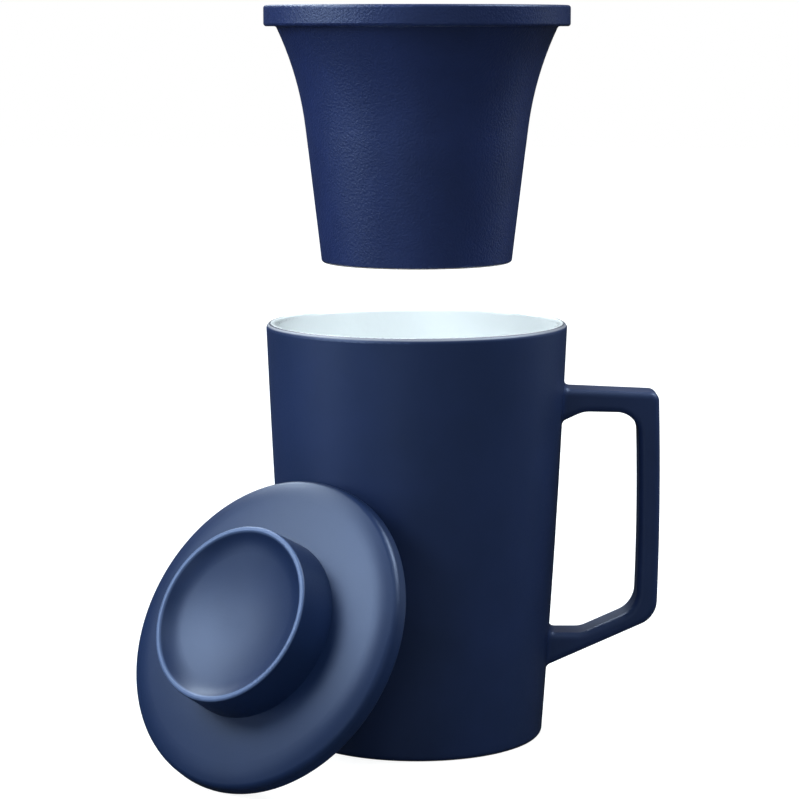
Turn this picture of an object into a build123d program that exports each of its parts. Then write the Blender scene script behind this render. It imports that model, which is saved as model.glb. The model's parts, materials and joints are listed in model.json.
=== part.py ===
from build123d import *
import os
from math import cos, radians, sin, sqrt

# Lidded tea mug with a lift-out infuser, in glazed ceramic. Sizes are in millimetres.
# The origin is the centre of the mug's foot, on the surface it stands on.
# +X runs to the handle, +Y away from the lid's side, +Z up.
# The infuser hangs over the mug on the mug's axis, where a hand holds it to drain,
# and the lid stands on its edge and leans on the mug.

# ---- Mug -------------------------------------------------------------------
mug_height = 125.5
mug_rim_radius = 45.15
mug_base_radius = 38.2
mug_side_swell = 0.5        # how far the side bows out from a straight taper
mug_wall = 3.2              # clay and liner glaze together
mug_floor = 5.5
mug_base_round = 1.8
mug_inner_round = 9.0       # floor to wall, inside
lip_round = 1.5
foot_ring_width = 4.5
foot_recess_depth = 1.6
foot_recess_round = 0.7
liner_thickness = 0.4
liner_lip_cover = 0.25      # liner glaze over the top of the lip

# ---- Handle, a strap luted to the mug ---------------------------------------
handle_reach = 72.6         # mug axis to the outside of the grip
handle_top = 104.9
upper_arm_rise = 2.0        # the upper arm's top climbs this much on its way to the mug
upper_arm_under_rise = 0.8  # and its underside this much
upper_arm_thickness = 6.2   # at the grip
grip_thickness = 6.3
grip_bow = 0.6
lower_arm_thickness = 5.0
lower_arm_slope = 24.2      # degrees
lower_corner_height = 36.2
strap_width = 13.0
strap_edge_round = 2.05
outer_corner_round = 2.8
lower_outer_round = 8.0
upper_inner_round = 6.5
lower_inner_round = 8.3
upper_root_run = 6.0        # the upper arm's underside turns down this far from the mug
upper_root_turn = 25.0      # degrees
upper_root_round = 9.0
lower_root_run = 9.3        # the lower arm's top is level over this length beside the mug
lower_root_round = 8.0      # where it turns level
root_fillet = 2.0           # slip wiped round the strap's ends
slip_film = 0.02            # slip between the strap's ends and the mug
touching = 0.01             # edges this near to a surface lie in it

# ---- Infuser -----------------------------------------------------------------
flange_overhang = 0.25          # beyond the mug's rim
flange_thickness = 6.2
flange_round = 0.9
flange_root_round = 0.8
infuser_fit_clearance = 0.2     # between the infuser and the mug's mouth, each side
infuser_wall = 3.0
infuser_depth = 69.75           # below the flange
infuser_base_radius = 28.4
infuser_flare_depth = 30.0      # the straight cone ends and the flare begins
infuser_flare_radius = 33.1
infuser_base_round = 1.0
infuser_floor = 4.0
infuser_inner_round = 4.0
mouth_round = 1.0
strainer_hole = 2.4             # diameter
strainer_pitch = 5.6            # between rings of holes
strainer_rings = 3
base_ring_width = 3.0
base_recess_depth = 0.8
drain_height = 87.9             # from the mug's lip up to the flange

# ---- Lid ---------------------------------------------------------------------
lid_overhang = 1.4             # beyond the flange, at the seat
lid_edge_height = 4.1
lid_edge_draft = 0.6            # how far the side leans in towards the top
lid_edge_round = 0.7
lid_brow_round = 2.4            # where the side turns into the top
lid_brow_width = 6.7            # from the shoulder in, the part of the top that falls away more steeply
lid_brow_drop = 1.25            # from the knob's root down to it
lid_rise = 3.6                  # from the edge up to the knob's root
lid_root_slope = 3.0            # degrees, beside the knob
lid_shell = 3.2
ring_clearance = 0.7            # locating ring to the infuser's mouth, each side
ring_width = 3.0
ring_depth = 5.5
ring_round = 1.0
ring_root_round = 0.6
recess_round = 2.0

# ---- Knob, a shallow dish luted to the lid -----------------------------------
knob_root_radius = 26.7
knob_lip_radius = 26.0
knob_height = 12.7
knob_lip_width = 1.3
knob_lip_round = 0.75           # on the outside of the lip
knob_lip_crest = 0.35           # on its inside
knob_wall = 3.0
knob_dish_depth = 2.4           # at the dish's edge
knob_dish_hollow = 3.4          # extra depth at the middle of the dish
knob_dish_flat = 1.5            # level at the very middle
knob_dish_draft = 2.6           # how far the dish's wall leans in
knob_dish_round = 12.0
vent_hole = 2.5                 # diameter, lets the air out of the hollow knob

# ---- How the lid leans ---------------------------------------------------------
lean_azimuth = -129.1           # degrees about Z, from the mug towards the lid
lean_elevation = 29.0           # degrees, the lid's axis above the level
lean_gap = 0.3

# ---- Sizes that follow -----------------------------------------------------------
mug_mouth_radius = mug_rim_radius - mug_wall
infuser_neck_radius = mug_mouth_radius - infuser_fit_clearance
infuser_mouth_radius = infuser_neck_radius - infuser_wall
flange_radius = mug_rim_radius + flange_overhang
lid_seat_radius = flange_radius + lid_overhang
lid_shoulder_radius = lid_seat_radius - lid_edge_draft
lid_brow_radius = lid_shoulder_radius - lid_brow_width
ring_radius = infuser_mouth_radius - ring_clearance
flange_base = mug_height + drain_height
infuser_height = infuser_depth + flange_thickness
knob_seat = lid_edge_height + lid_rise
drill_length = 4 * max(lid_shell, infuser_floor)      # for the vent and strainer holes


def mug_side_radius(height):
    """Radius of the mug's outer side: a straight taper with a slight swell."""
    share = height / mug_height
    taper = mug_base_radius + (mug_rim_radius - mug_base_radius) * share
    return taper + mug_side_swell * 4 * share * (1 - share)


def at_points(sketch, places):
    """The corners of a sketch that lie nearest to the given places."""
    return [min(sketch.vertices(), key=lambda v: (v.center() - Vector(*p)).length) for p in places]


def round_corners(sketch, radius, *places):
    """Rounds the corners of a profile that lie at (x, z)."""
    return fillet(at_points(sketch, [(x, 0, z) for x, z in places]), radius)


def turned(profile):
    """A solid of revolution about the Z axis, with its seam line on the side away from the handle."""
    return Rot(0, 0, 180) * revolve(profile, Axis.Z)


def side_curve(offset, low, high):
    """The mug's side between two heights, moved in by an offset: a parabola, as a curve of three poles."""
    middle = (low + high) / 2
    ends = mug_side_radius(low), mug_side_radius(high)
    pole = 2 * mug_side_radius(middle) - sum(ends) / 2
    return Bezier((ends[0] - offset, 0, low), (pole - offset, 0, middle), (ends[1] - offset, 0, high))


def cup_face(offset, floor_height, top):
    """Half section of the space inside the mug's side, above a floor."""
    side = side_curve(offset, floor_height, top)
    low_corner = (mug_side_radius(floor_height) - offset, 0, floor_height)
    rest = Polyline(side @ 1, (0, 0, top), (0, 0, floor_height), low_corner)
    return make_face([side, rest])


def mug_outline(film=0):
    """Half section of the mug's outer form, with a rounded foot, grown by a film."""
    return round_corners(cup_face(-film, 0, mug_height), mug_base_round, (mug_base_radius + film, 0))


def mug_hollow(offset, floor_height, inner_round):
    """Half section of the mug's inside, with its rounded floor."""
    corner = (mug_side_radius(floor_height) - offset, floor_height)
    return round_corners(cup_face(offset, floor_height, mug_height), inner_round, corner)


def foot_recess():
    """Half section of the hollow under the foot."""
    radius = mug_base_radius - mug_base_round - foot_ring_width
    face = make_face(Polyline((0, 0, 0), (radius, 0, 0), (radius, 0, foot_recess_depth),
                              (0, 0, foot_recess_depth), (0, 0, 0)))
    return round_corners(face, foot_recess_round, (radius, foot_recess_depth))


def mug_section():
    """Half section of the whole mug wall, clay and liner glaze."""
    face = mug_outline() - mug_hollow(mug_wall, mug_floor, mug_inner_round) - foot_recess()
    face = round_corners(face, lip_round, (mug_rim_radius, mug_height), (mug_mouth_radius, mug_height))
    return face


def liner_zone():
    """Half section that takes in the liner glaze: the inside and the top of the lip."""
    clay = mug_wall - liner_thickness
    inside = mug_hollow(clay, mug_floor - liner_thickness, mug_inner_round + liner_thickness)
    low = mug_height - lip_round
    cover = mug_height - liner_lip_cover
    inner = mug_rim_radius - clay
    within = inner - mug_wall
    above = mug_height + lip_round
    over_lip = make_face(Polyline((within, 0, low), (inner, 0, low), (inner + lip_round / 2, 0, cover),
                                  (mug_rim_radius, 0, cover), (mug_rim_radius, 0, above),
                                  (within, 0, above), (within, 0, low)))
    return inside + over_lip


def mug_body():
    return turned(mug_section() - liner_zone())


def mug_liner():
    return turned(mug_section() & liner_zone())


def grip_profile():
    """The grip's two sides, bowed a little outwards: the outer, the inner, and their end corners."""
    inner = handle_reach - grip_thickness
    lower_lift = lower_arm_thickness / cos(radians(lower_arm_slope))
    top_out = (handle_reach, 0, handle_top)
    low_out = (handle_reach, 0, lower_corner_height)
    top_in = (inner, 0, handle_top - upper_arm_thickness)
    low_in = (inner, 0, lower_corner_height - fall(lower_arm_slope, grip_thickness) + lower_lift)
    bowed_out = (handle_reach + grip_bow, 0, (top_out[2] + low_out[2]) / 2)
    bowed_in = (inner + grip_bow, 0, (top_in[2] + low_in[2]) / 2)
    outer_side = ThreePointArc(top_out, bowed_out, low_out)
    inner_side = ThreePointArc(low_in, bowed_in, top_in)
    return outer_side, inner_side, top_out, low_out, top_in, low_in


def fall(slope, run):
    """How far a slope in degrees falls over a level run."""
    return run * sin(radians(slope)) / cos(radians(slope))


def handle_profile():
    """Side view of the strap, with its ends run on into the mug, where they are cut away."""
    outer_side, inner_side, top_out, low_out, top_in, low_in = grip_profile()
    root = mug_base_radius - strap_width
    turn_from = mug_side_radius(top_in[2]) + upper_root_run
    turn_height = top_in[2] + upper_arm_under_rise * (top_in[0] - turn_from) / (top_in[0] - root)
    upper_end = turn_height - fall(upper_root_turn, turn_from - root)
    top = handle_top + upper_arm_rise
    upper = Polyline(top_in, (turn_from, 0, turn_height), (root, 0, upper_end), (root, 0, top), top_out)
    level_from = mug_side_radius(low_in[2]) + lower_root_run
    level = low_in[2] - fall(lower_arm_slope, low_in[0] - level_from)
    low_end = lower_corner_height - fall(lower_arm_slope, handle_reach - root)
    lower = Polyline(low_out, (root, 0, low_end), (root, 0, level), (level_from, 0, level), low_in)
    face = make_face([outer_side, lower, inner_side, upper])
    face = round_corners(face, outer_corner_round, top_out[::2])
    face = round_corners(face, lower_outer_round, low_out[::2])
    face = round_corners(face, upper_inner_round, top_in[::2])
    face = round_corners(face, lower_inner_round, low_in[::2])
    face = round_corners(face, upper_root_round, (turn_from, turn_height))
    return round_corners(face, lower_root_round, (level_from, level))


def mug_handle():
    """The strap, rounded along its edges, with slip wiped round its ends."""
    strap = extrude(handle_profile(), strap_width / 2, both=True)
    strap = fillet([e for e in strap.edges() if is_strap_edge(e)], strap_edge_round)
    joined = strap + turned(mug_outline())
    joined = fillet([e for e in joined.edges() if is_root_seam(e)], root_fillet)
    return joined - turned(mug_outline(slip_film))


def is_strap_edge(edge):
    """True for the edges round the strap's two flat faces."""
    return abs(abs(edge.center().Y) - strap_width / 2) < touching


def is_root_seam(edge):
    """True for the edges where the strap's sides run into the mug."""
    points = [edge @ share for share in (0, 0.5, 1)]
    by_handle = all(p.X > mug_base_radius / 2 and abs(p.Y) < strap_width for p in points)
    return by_handle and all(abs(radius_of(p) - mug_side_radius(p.Z)) < touching for p in points)


def radius_of(point):
    return sqrt(point.X ** 2 + point.Y ** 2)


def infuser_section():
    """Half section of the infuser, with its base at height 0."""
    cone_top = infuser_depth - infuser_flare_depth
    lean = (infuser_flare_radius - infuser_base_radius, 0, cone_top)
    cone = Line((infuser_base_radius, 0, 0), (infuser_flare_radius, 0, cone_top))
    neck = (infuser_neck_radius, 0, infuser_depth)
    flare = TangentArc((infuser_flare_radius, 0, cone_top), neck, tangent=lean)
    rest = Polyline(neck, (flange_radius, 0, infuser_depth),
                    (flange_radius, 0, infuser_height), (0, 0, infuser_height), (0, 0, 0),
                    (infuser_base_radius, 0, 0))
    outer = make_face([cone, flare, rest])
    inner_low = infuser_base_radius - infuser_wall
    inner_bend = infuser_flare_radius - infuser_wall
    inner_cone = Line((inner_low, 0, infuser_floor), (inner_bend, 0, cone_top))
    inner_neck = (infuser_mouth_radius, 0, infuser_depth)
    inner_flare = TangentArc((inner_bend, 0, cone_top), inner_neck, tangent=lean)
    inner_rest = Polyline(inner_neck, (infuser_mouth_radius, 0, infuser_height), (0, 0, infuser_height),
                          (0, 0, infuser_floor), (inner_low, 0, infuser_floor))
    inner = round_corners(make_face([inner_cone, inner_flare, inner_rest]), infuser_inner_round,
                          (inner_low, infuser_floor))
    recess_radius = infuser_base_radius - base_ring_width
    recess = make_face(Polyline((0, 0, 0), (recess_radius, 0, 0), (recess_radius, 0, base_recess_depth),
                                (0, 0, base_recess_depth), (0, 0, 0)))
    face = outer - inner - recess
    face = round_corners(face, flange_round, (flange_radius, infuser_depth), (flange_radius, infuser_height))
    face = round_corners(face, flange_root_round, (infuser_neck_radius, infuser_depth))
    face = round_corners(face, mouth_round, (infuser_mouth_radius, infuser_height))
    return round_corners(face, infuser_base_round, (infuser_base_radius, 0))


def strainer_holes():
    """One hole in the middle and rings of six, twelve and so on about it."""
    places = [Location((0, 0, 0))]
    for ring in range(1, strainer_rings + 1):
        places += PolarLocations(ring * strainer_pitch, 6 * ring).locations
    drill = Cylinder(strainer_hole / 2, drill_length)
    return [place * drill for place in places]


def infuser():
    cup = turned(infuser_section())
    return Pos(0, 0, flange_base - infuser_depth) * (cup - strainer_holes())


def block(inner, outer, low, top):
    """Half section of a plain ring between two radii and two heights."""
    return make_face(Polyline((inner, 0, low), (inner, 0, top), (outer, 0, top), (outer, 0, low), (inner, 0, low)))


def under_lid_top(low):
    """Half section of all that lies within the lid's side and under its top, down to a height."""
    level = Line((0, 0, knob_seat), (knob_root_radius, 0, knob_seat))
    shoulder = (lid_shoulder_radius, 0, lid_edge_height)
    slope = (cos(radians(lid_root_slope)), 0, -sin(radians(lid_root_slope)))
    dome = TangentArc(level @ 1, (lid_brow_radius, 0, knob_seat - lid_brow_drop), tangent=slope)
    brow = TangentArc(dome @ 1, shoulder, tangent=dome % 1)
    side = Polyline(shoulder, (lid_seat_radius, 0, low), (0, 0, low), (0, 0, knob_seat))
    return make_face([level, dome, brow, side])


def lid_section():
    """Half section of the lid's disc; its seat on the flange is at height 0."""
    inner_ring = ring_radius - ring_width
    ring = block(inner_ring, ring_radius, -ring_depth, lid_edge_height)
    recess = Pos(0, 0, -lid_shell) * under_lid_top(-lid_edge_height) & block(0, inner_ring, -ring_depth, knob_seat)
    face = under_lid_top(0) + ring - recess
    face = round_corners(face, lid_brow_round, (lid_shoulder_radius, lid_edge_height))
    face = round_corners(face, lid_edge_round, (lid_seat_radius, 0))
    face = round_corners(face, ring_root_round, (ring_radius, 0))
    face = round_corners(face, ring_round, (ring_radius, -ring_depth), (inner_ring, -ring_depth))
    return round_corners(face, recess_round, (inner_ring, knob_seat - lid_shell))


def lid_disc():
    disc = turned(lid_section())
    return lid_place() * (disc - Pos(0, 0, knob_seat) * Cylinder(vent_hole / 2, drill_length))


def knob_section():
    """Half section of the knob, a dish on a wall, with its seat at height 0."""
    lip_inner = knob_lip_radius - knob_lip_width
    dish_radius = lip_inner - knob_dish_draft
    dish_floor = knob_height - knob_dish_depth
    dish_bottom = dish_floor - knob_dish_hollow
    flat = Line((0, 0, dish_bottom), (knob_dish_flat, 0, dish_bottom))
    hollow = TangentArc(flat @ 1, (dish_radius, 0, dish_floor), tangent=(1, 0, 0))
    inner_root = knob_root_radius - knob_wall
    under = dish_bottom - knob_wall
    rest = Polyline((0, 0, dish_bottom), (0, 0, under), (inner_root, 0, under), (inner_root, 0, 0),
                    (knob_root_radius, 0, 0), (knob_lip_radius, 0, knob_height), (lip_inner, 0, knob_height),
                    (dish_radius, 0, dish_floor))
    face = make_face([flat, hollow, rest])
    face = round_corners(face, knob_lip_round, (knob_lip_radius, knob_height))
    face = round_corners(face, knob_lip_crest, (lip_inner, knob_height))
    return round_corners(face, knob_dish_round, (dish_radius, dish_floor))


def lid_knob():
    return lid_place() * Pos(0, 0, knob_seat) * turned(knob_section())


def lid_place():
    """Where the leaning lid stands: its lower edge on the floor, its back at the mug's side."""
    rise = sin(radians(lean_elevation))
    level = cos(radians(lean_elevation))
    edge = lid_seat_radius - lid_edge_round
    height = edge * level - lid_edge_round * rise + lid_edge_round
    edge_reach = edge * rise - lid_edge_round * level + lid_edge_round
    edge_height = height + edge * level + lid_edge_round * rise
    corner = ring_radius - ring_round
    ring_reach = corner * rise + (ring_depth - ring_round) * level + ring_round
    ring_height = height + corner * level - (ring_depth - ring_round) * rise
    by_edge = mug_side_radius(edge_height) + edge_reach
    by_ring = mug_side_radius(ring_height) + ring_reach
    away = max(by_edge, by_ring) + lean_gap
    turn = radians(lean_azimuth)
    origin = (away * cos(turn), away * sin(turn), height)
    axis = (level * cos(turn), level * sin(turn), rise)
    return Plane(origin=origin, x_dir=(-sin(turn), cos(turn), 0), z_dir=axis).location


def write(name, shape):
    shape.label = name
    export_step(shape, f"parts/{name}.step")


os.makedirs("parts", exist_ok=True)
write("mug_body", mug_body())
write("mug_liner", mug_liner())
write("mug_handle", mug_handle())
write("infuser", infuser())
write("lid_disc", lid_disc())
write("lid_knob", lid_knob())
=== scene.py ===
import json
from math import cos, radians, sin

import bpy
from mathutils import Euler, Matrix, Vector


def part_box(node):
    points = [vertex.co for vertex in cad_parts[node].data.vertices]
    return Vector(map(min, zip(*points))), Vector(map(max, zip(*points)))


# Lidded stoneware tea mug with a lift-out infuser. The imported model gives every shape;
# this script gives each piece its glaze, and sets the table, the lamps and the camera.
# Lengths are in metres, and MM turns a size in millimetres into metres.

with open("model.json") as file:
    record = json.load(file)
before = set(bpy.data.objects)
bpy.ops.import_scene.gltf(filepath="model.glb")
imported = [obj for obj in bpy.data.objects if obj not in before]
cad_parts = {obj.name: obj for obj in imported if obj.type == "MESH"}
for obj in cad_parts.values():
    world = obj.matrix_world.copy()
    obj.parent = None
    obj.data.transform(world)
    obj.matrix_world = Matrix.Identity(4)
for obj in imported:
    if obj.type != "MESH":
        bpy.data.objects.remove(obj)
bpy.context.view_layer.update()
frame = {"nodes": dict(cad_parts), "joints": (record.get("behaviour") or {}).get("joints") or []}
nodes = frame["nodes"]
MM = 0.001

# ---- Places taken from the frame ---------------------------------------------------------

mug_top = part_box("mug_liner")[1].z
liner_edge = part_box("mug_liner")[1].y           # the liner is round, so this is its radius
infuser_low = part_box("infuser")[0].z
lid_axis = Vector(next(j["axis"] for j in frame["joints"] if j["name"] == "lid_pick_up")).normalized()


def heights_along_lid(node):
    """How far along the lid's axis each point of a piece is."""
    return [vertex.co.dot(lid_axis) for vertex in nodes[node].data.vertices]


ring_edge = min(heights_along_lid("lid_disc"))
knob_top = max(heights_along_lid("lid_knob"))

# ---- Colours -----------------------------------------------------------------------------

# Each navy is a pair: cobalt and iron under a matt glaze, and the same where it lies thicker.
NAVY_MUG = ("#162448", "#132142")
NAVY_INFUSER = ("#16224b", "#131e43")
NAVY_LID = ("#102041", "#0d1d3c")
NAVY_THIN_AND_HIGHLIGHT = "#6f83ad"       # where the glaze has run thin over an edge; on the knob's lip it is also a painted highlight
MATT_SHEEN = "#cbdcff"      # fine crystals of the matt glaze turn what they reflect a little blue
WHITE_GLAZE = "#f6f8f8"
WHITE_GLAZE_POOLED = "#eef5f7"
RIM_LINE = "#787880"        # navy and white run together on the lip
STONEWARE = "#b9a892"       # bare fired clay
STONEWARE_IRON = "#7d6650"  # its darker specks
TABLE_MATT = "#8a8a8a"      # what the table sends back of the light on it
COOL_WHITE = "#ecf9ff"      # the lamps and the fill

# ---- Sizes and roughness of the finishes -------------------------------------------------

glaze_ior = 1.5
drift_mm = 22               # patches of tone in the sprayed glaze
clay_speck_mm = 0.9
fine_grit_mm = (0.5, 0.006)     # width and height of the grit on the mug and the lid
sandy_grit_mm = (0.7, 0.075)    # on the infuser
orange_peel_mm = (2.5, 0.02)    # width and height of the waves in the white glaze
mug_roughness = 0.48
lid_roughness = 0.42
infuser_roughness = 0.42
grit_roughness = 0.04       # how far the grit moves these, up and down
liner_roughness = (0.12, 0.18)

# Where one finish gives way to the next: where that begins, and where it is done.
foot_bare = (0.5 * MM, 0.2 * MM)
infuser_bare = (infuser_low + 0.4 * MM, infuser_low + 0.15 * MM)
ring_bare = (ring_edge + 0.8 * MM, ring_edge + 0.4 * MM)
lip_thin = (mug_top - 0.9 * MM, mug_top - 0.5 * MM)
# The knob's crest, made pale by thin glaze and by a painted highlight.
knob_crest_with_highlight = (knob_top - 0.6 * MM, knob_top - 0.15 * MM)
knob_highlight_share = 0.32      # of the pale colour: thin glaze together with a painted highlight
liner_end_heights = (mug_top - 1.2 * MM, mug_top - 0.4 * MM)
liner_end_radii = (liner_edge - 0.81 * MM, liner_edge - 0.41 * MM)
pool_heights = (30 * MM, 8 * MM)

# ---- Making materials --------------------------------------------------------------------

FACTOR, COLOUR_A, COLOUR_B, MIXED = 0, 6, 7, 2      # sockets of a Mix node that mixes colours
noise_ends = (0.3, 0.7)     # noise seldom goes past these


def linear(code):
    """An sRGB hex colour as linear RGBA."""
    channels = [int(code[i:i + 2], 16) / 255 for i in (1, 3, 5)]
    return [c / 12.92 if c <= 0.04045 else ((c + 0.055) / 1.055) ** 2.4 for c in channels] + [1]


def add(tree, kind, inputs=None, **settings):
    """Adds a node with its settings. An input is a plain value, or the socket that it is linked from."""
    node = tree.nodes.new("ShaderNode" + kind)
    for name, value in settings.items():
        setattr(node, name, value)
    for name, value in (inputs or {}).items():
        if isinstance(value, bpy.types.NodeSocket):
            tree.links.new(value, node.inputs[name])
        else:
            node.inputs[name].default_value = value
    return node


def blank_material(name):
    """A material with an empty tree, and the place of each point of the piece."""
    material = bpy.data.materials.new(name)
    material.use_nodes = True
    tree = material.node_tree
    tree.nodes.clear()
    return material, tree, add(tree, "TexCoord").outputs["Object"]


def patches(tree, place, size_mm, detail=3.0, roughness=0.55):
    """Soft patches of a real size, from 0 to 1."""
    noise = add(tree, "TexNoise", {"Vector": place, "Scale": 1 / (size_mm * MM), "Detail": detail,
                                   "Roughness": roughness})
    ramp = add(tree, "MapRange", {"Value": noise.outputs["Fac"], "From Min": noise_ends[0],
                                  "From Max": noise_ends[1]})
    return ramp.outputs["Result"]


def soft_edge(tree, value, start, end, most=1.0):
    """0 at start and the most at end, smooth between."""
    ramp = add(tree, "MapRange", {"Value": value, "From Min": start, "From Max": end, "To Max": most},
               interpolation_type="SMOOTHSTEP")
    return ramp.outputs["Result"]


def layered(tree, colour, covers):
    """A colour with others over it. Each cover is a mask and a colour."""
    for mask, cover in covers:
        mix = add(tree, "Mix", {FACTOR: mask, COLOUR_A: colour, COLOUR_B: cover}, data_type="RGBA")
        colour = mix.outputs[MIXED]
    return colour


def radius_about_z(tree, place):
    """Distance from the mug's axis."""
    level = add(tree, "VectorMath", {0: place, 1: (1, 1, 0)}, operation="MULTIPLY").outputs[0]
    return add(tree, "VectorMath", {0: level}, operation="LENGTH").outputs["Value"]


def height_along_lid(tree, place):
    """How far along the lid's axis the place is."""
    return add(tree, "VectorMath", {0: place, 1: lid_axis}, operation="DOT_PRODUCT").outputs["Value"]


def finish_material(tree, settings, bump, relief_mm):
    """Shader, bump and output. The relief is the height of the bumps in millimetres."""
    normal = add(tree, "Bump", {"Height": bump, "Distance": relief_mm * MM, "Strength": 1.0})
    shader = add(tree, "BsdfPrincipled", {**settings, "Normal": normal.outputs[0]})
    add(tree, "OutputMaterial", {"Surface": shader.outputs[0]})


# ---- Glazes ------------------------------------------------------------------------------


def matt_navy_glaze(name, navy, grit_mm, roughness, marks):
    """Matt cobalt glaze, sprayed on stoneware: an even deep blue with a faint drift of tone and a fine
    sandy grit that breaks up the light. marks(tree, place) gives what covers it, such as bare clay,
    as masks and colours."""
    material, tree, place = blank_material(name)
    thin, thick = (linear(code) for code in navy)
    drift = patches(tree, place, drift_mm)
    colour = layered(tree, thin, [(drift, thick), *marks(tree, place)])
    grit_width_mm, grit_height_mm = grit_mm
    grit = patches(tree, place, grit_width_mm, detail=2.0, roughness=0.6)
    rough = add(tree, "MapRange", {"Value": grit, "To Min": roughness - grit_roughness,
                                   "To Max": roughness + grit_roughness})
    settings = {"Base Color": colour, "Roughness": rough.outputs["Result"], "IOR": glaze_ior,
                "Specular Tint": linear(MATT_SHEEN)}
    finish_material(tree, settings, grit, grit_height_mm)
    return material


def bare_clay(tree, place):
    """Fired stoneware without glaze: pale and dry, with small specks of iron."""
    specks = patches(tree, place, clay_speck_mm)
    return layered(tree, linear(STONEWARE), [(specks, linear(STONEWARE_IRON))])


def mug_marks(tree, place):
    """The glaze is wiped off the foot ring, and runs thin and grey where it meets the white on the lip."""
    height = add(tree, "SeparateXYZ", {0: place}).outputs["Z"]
    return [(soft_edge(tree, height, *lip_thin), linear(RIM_LINE)),
            (soft_edge(tree, height, *foot_bare), bare_clay(tree, place))]


def infuser_marks(tree, place):
    """Bare clay on the ring that the infuser stands on in the kiln."""
    height = add(tree, "SeparateXYZ", {0: place}).outputs["Z"]
    return [(soft_edge(tree, height, *infuser_bare), bare_clay(tree, place))]


def lid_marks(tree, place):
    """Bare clay under the locating ring."""
    return [(soft_edge(tree, height_along_lid(tree, place), *ring_bare), bare_clay(tree, place))]


def knob_marks_and_highlight(tree, place):
    """The glaze runs thin and pale over the knob's narrow lip, and that pale band is partly a painted
    highlight.
    """
    # painted highlight on the crest, laid over the thin glaze's paler colour
    painted_crest = soft_edge(tree, height_along_lid(tree, place), *knob_crest_with_highlight, most=knob_highlight_share)
    return [(painted_crest, linear(NAVY_THIN_AND_HIGHLIGHT))]


def white_liner_glaze(name):
    """Clear glaze over white: glossy and cold white with a soft orange peel, faintly blue where it pools,
    and grey where it meets the navy on the lip."""
    material, tree, place = blank_material(name)
    height = add(tree, "SeparateXYZ", {0: place}).outputs["Z"]
    radius = radius_about_z(tree, place)
    pooled = soft_edge(tree, height, *pool_heights)
    high = soft_edge(tree, height, *liner_end_heights)
    outer = soft_edge(tree, radius, *liner_end_radii)
    on_lip = add(tree, "Math", {0: high, 1: outer}, operation="MULTIPLY").outputs[0]
    colour = layered(tree, linear(WHITE_GLAZE), [(pooled, linear(WHITE_GLAZE_POOLED)),
                                                 (on_lip, linear(RIM_LINE))])
    wave_mm, wave_height_mm = orange_peel_mm
    peel = patches(tree, place, wave_mm, detail=1.0)
    rough = add(tree, "MapRange", {"Value": peel, "To Min": liner_roughness[0],
                                   "To Max": liner_roughness[1]})
    settings = {"Base Color": colour, "Roughness": rough.outputs["Result"], "IOR": glaze_ior}
    finish_material(tree, settings, peel, wave_height_mm)
    return material


def give(node, material):
    """Puts a piece in one material."""
    slots = nodes[node].data.materials
    slots.clear()
    slots.append(material)


give("mug_body", matt_navy_glaze("matt_navy_glaze_mug", NAVY_MUG, fine_grit_mm, mug_roughness, mug_marks))
give("mug_handle", matt_navy_glaze("matt_navy_glaze_handle", NAVY_MUG, fine_grit_mm, mug_roughness,
                                   mug_marks))
give("mug_liner", white_liner_glaze("white_liner_glaze"))
give("infuser", matt_navy_glaze("sandy_navy_glaze_infuser", NAVY_INFUSER, sandy_grit_mm, infuser_roughness,
                                infuser_marks))
give("lid_disc", matt_navy_glaze("matt_navy_glaze_lid", NAVY_LID, fine_grit_mm, lid_roughness, lid_marks))
give("lid_knob", matt_navy_glaze("matt_navy_glaze_knob", NAVY_LID, fine_grit_mm, lid_roughness, knob_marks_and_highlight))

# ---- Table, backdrop and lamps -----------------------------------------------------------

table_size = 8.0
table_white = 0.9           # how much of the table's white doesn't depend on the lamps
table_clear = (0.25, 0.6)   # the table's shadow fades out between these distances
room_glow = 0.03            # what the dark room sends back
fill_level = 0.68           # an even light that only matt surfaces take up
lamp_aim = Vector((0, 0, 0.11))     # halfway up the pieces

# The white sweep that the pieces show in their gloss. It fades in towards the back, and upwards.
sweep_turn = (cos(radians(50)), cos(radians(20)))
sweep_rise = (0.25, 0.55)


def make_table():
    """A pale table that keeps a faint shadow under the pieces."""
    bpy.ops.mesh.primitive_plane_add(size=table_size)
    table = bpy.context.object
    table.name = "table"
    material, tree, place = blank_material("pale_table")
    seen = add(tree, "LightPath").outputs["Is Camera Ray"]
    far = soft_edge(tree, radius_about_z(tree, place), *table_clear)
    white = add(tree, "MapRange", {"Value": far, "To Min": table_white, "To Max": 1.0}).outputs["Result"]
    shown = add(tree, "Math", {0: white, 1: seen}, operation="MULTIPLY").outputs[0]
    glow = add(tree, "Emission", {"Color": (1, 1, 1, 1), "Strength": shown})
    matt = add(tree, "BsdfDiffuse", {"Color": linear(TABLE_MATT)})
    both = add(tree, "AddShader", {0: glow.outputs[0], 1: matt.outputs[0]})
    add(tree, "OutputMaterial", {"Surface": both.outputs[0]})
    table.data.materials.append(material)
    table.visible_glossy = False    # the gloss of the pieces shows the dark room instead


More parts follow.
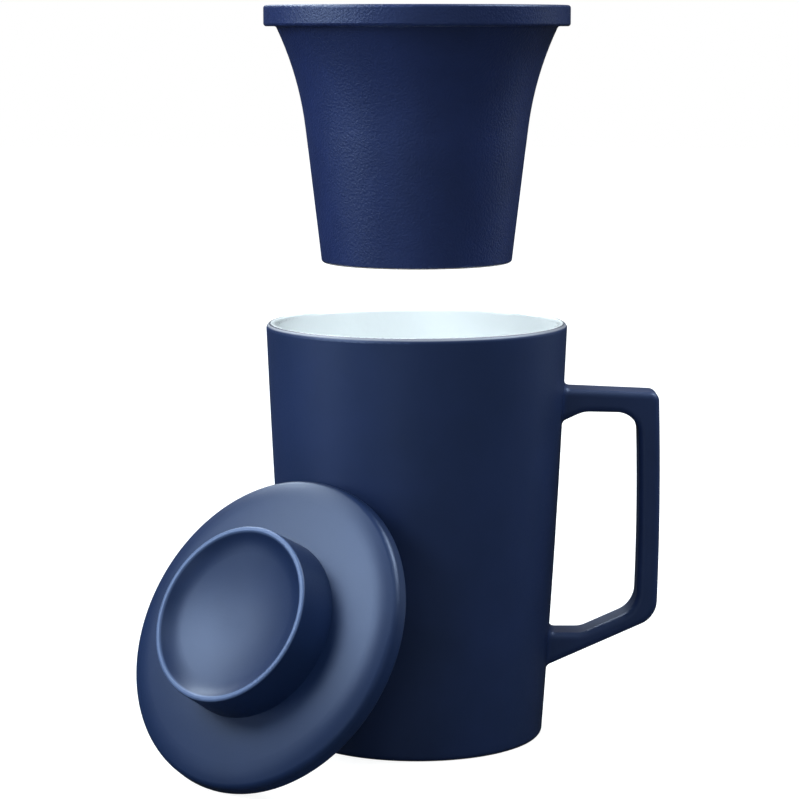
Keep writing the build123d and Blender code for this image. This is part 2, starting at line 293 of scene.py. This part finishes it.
def make_world():
    """White behind the pieces, dark drapes elsewhere, and a weak even fill."""
    world = bpy.data.worlds.new("studio")
    bpy.context.scene.world = world
    world.use_nodes = True
    tree = world.node_tree
    tree.nodes.clear()
    ray = add(tree, "LightPath").outputs
    way = add(tree, "SeparateXYZ", {0: add(tree, "TexCoord").outputs["Generated"]}).outputs
    back = soft_edge(tree, way["Y"], *sweep_turn)
    high = soft_edge(tree, way["Z"], *sweep_rise)
    sweep = add(tree, "Math", {0: back, 1: high}, operation="MULTIPLY").outputs[0]
    mirrored = add(tree, "Math", {0: ray["Is Glossy Ray"], 1: sweep}, operation="MULTIPLY").outputs[0]
    white = add(tree, "Math", {0: ray["Is Camera Ray"], 1: mirrored}, operation="MAXIMUM").outputs[0]
    backdrop = add(tree, "Background", {"Color": (1, 1, 1, 1), "Strength": white})
    level = add(tree, "MapRange", {"Value": ray["Is Diffuse Ray"], "To Min": room_glow,
                                   "To Max": fill_level})
    unseen = add(tree, "Math", {0: 1.0, 1: ray["Is Camera Ray"]}, operation="SUBTRACT").outputs[0]
    strength = add(tree, "Math", {0: level.outputs["Result"], 1: unseen}, operation="MULTIPLY").outputs[0]
    fill = add(tree, "Background", {"Color": linear(COOL_WHITE), "Strength": strength})
    both = add(tree, "AddShader", {0: backdrop.outputs[0], 1: fill.outputs[0]})
    add(tree, "OutputWorld", {"Surface": both.outputs[0]})


# Each softbox: azimuth and elevation in degrees, distance, width, height, and power in watts.
SOFTBOXES = {
    "high_right": (103, 54, 1.0, 0.5, 0.4, 10.5),
    "right": (90, 36, 1.0, 0.36, 0.36, 0.9),
    "back_left": (-148, 44, 1.0, 0.36, 0.36, 7.2),
    "left": (-78, 40, 1.0, 0.5, 0.36, 4.6),
    "high_left": (-108, 52, 1.0, 0.36, 0.36, 2.6),
    "low_left": (-70, 2, 1.0, 0.36, 0.36, 1.2),
    "high_front": (-5, 54, 1.0, 0.5, 0.36, 1.6),
    "low_front": (-18, 0, 1.0, 0.36, 0.36, 0.7),
    "front": (22, 12, 1.0, 0.36, 0.36, 0.35),
    "low_right": (112, 4, 1.0, 0.36, 0.36, 0.45),
    "near_left": (-84, 21, 0.45, 0.14, 0.14, 0.34),
    "near_front_left": (-58, 30, 0.45, 0.14, 0.14, 0.8),
    "near_top_left": (-72, 60, 0.51, 0.14, 0.14, 0.2),
}


def make_softboxes():
    """Soft lamps that face the pieces. Azimuth 0 is towards the camera, and positive is to its right."""
    for name, (azimuth, elevation, distance, width, height, watts) in SOFTBOXES.items():
        turn, lift = radians(azimuth), radians(elevation)
        way = Vector((sin(turn) * cos(lift), -cos(turn) * cos(lift), sin(lift)))
        lamp = bpy.data.lights.new(name + "_softbox", "AREA")
        lamp.shape = "RECTANGLE"
        lamp.size = width
        lamp.size_y = height
        lamp.energy = watts
        lamp.color = linear(COOL_WHITE)[:3]
        holder = bpy.data.objects.new(name + "_softbox", lamp)
        holder.location = lamp_aim + way * distance
        holder.rotation_euler = way.to_track_quat("Z", "Y").to_euler()
        holder.visible_camera = False
        bpy.context.collection.objects.link(holder)


make_table()
make_world()
make_softboxes()

# ---- Camera ------------------------------------------------------------------------------

frame_pixels = 799          # side of the rendered picture
focal_pixels = 2710.4       # focal length on the same scale
sensor_width = 36.0         # in millimetres, as the lens is
camera_place = Vector((0, -0.8091, 0.2133))
camera_pitch = 7.833        # degrees below the level
camera_yaw = 0.366          # degrees to the left

lens = bpy.data.cameras.new("camera")
lens.sensor_width = sensor_width
lens.lens = sensor_width * focal_pixels / frame_pixels
camera = bpy.data.objects.new("camera", lens)
camera.location = camera_place
camera.rotation_euler = Euler((radians(90 - camera_pitch), 0, radians(camera_yaw)))
bpy.context.collection.objects.link(camera)
bpy.context.scene.camera = camera
bpy.context.scene.view_settings.view_transform = "Standard"
